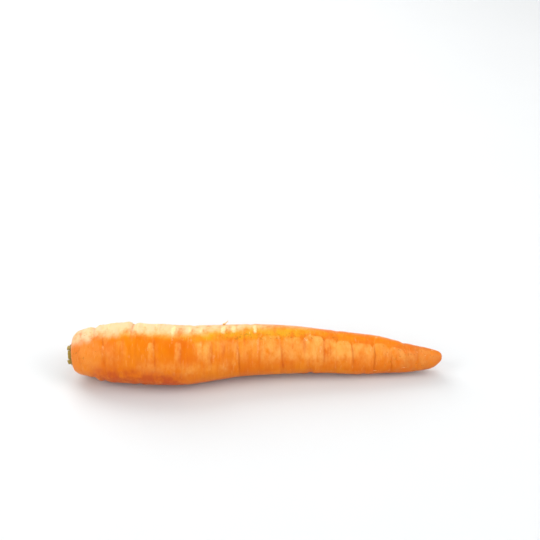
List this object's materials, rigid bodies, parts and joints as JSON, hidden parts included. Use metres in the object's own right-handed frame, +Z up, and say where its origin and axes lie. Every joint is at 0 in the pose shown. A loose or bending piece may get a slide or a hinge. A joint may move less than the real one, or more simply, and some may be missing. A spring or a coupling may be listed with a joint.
{
  "type": "carrot",
  "caption": "Whole carrot lying on its side: tapering orange root with creases across it, a blunt tip, and the cut stubs of its leaf stalks in a shallow hollow at the crown.",
  "frame": {"origin": "under the middle of the carrot's bounding box, on the surface that the carrot lies on", "axes": "+X along the root from the crown to the tip, +Z up, +Y away from a viewer who has the crown at the left"},
  "size_m": [0.19, 0.0352, 0.0306],
  "materials": {
    "carrot_skin": null,
    "cut_leaf_stalk": null,
    "dried_leaf_base": null
  },
  "bodies": {
    "root": {"root": "carrot_skin", "leaf_stalks": "cut_leaf_stalk", "dried_leaf_bases": "dried_leaf_base"}
  },
  "joints": []
}
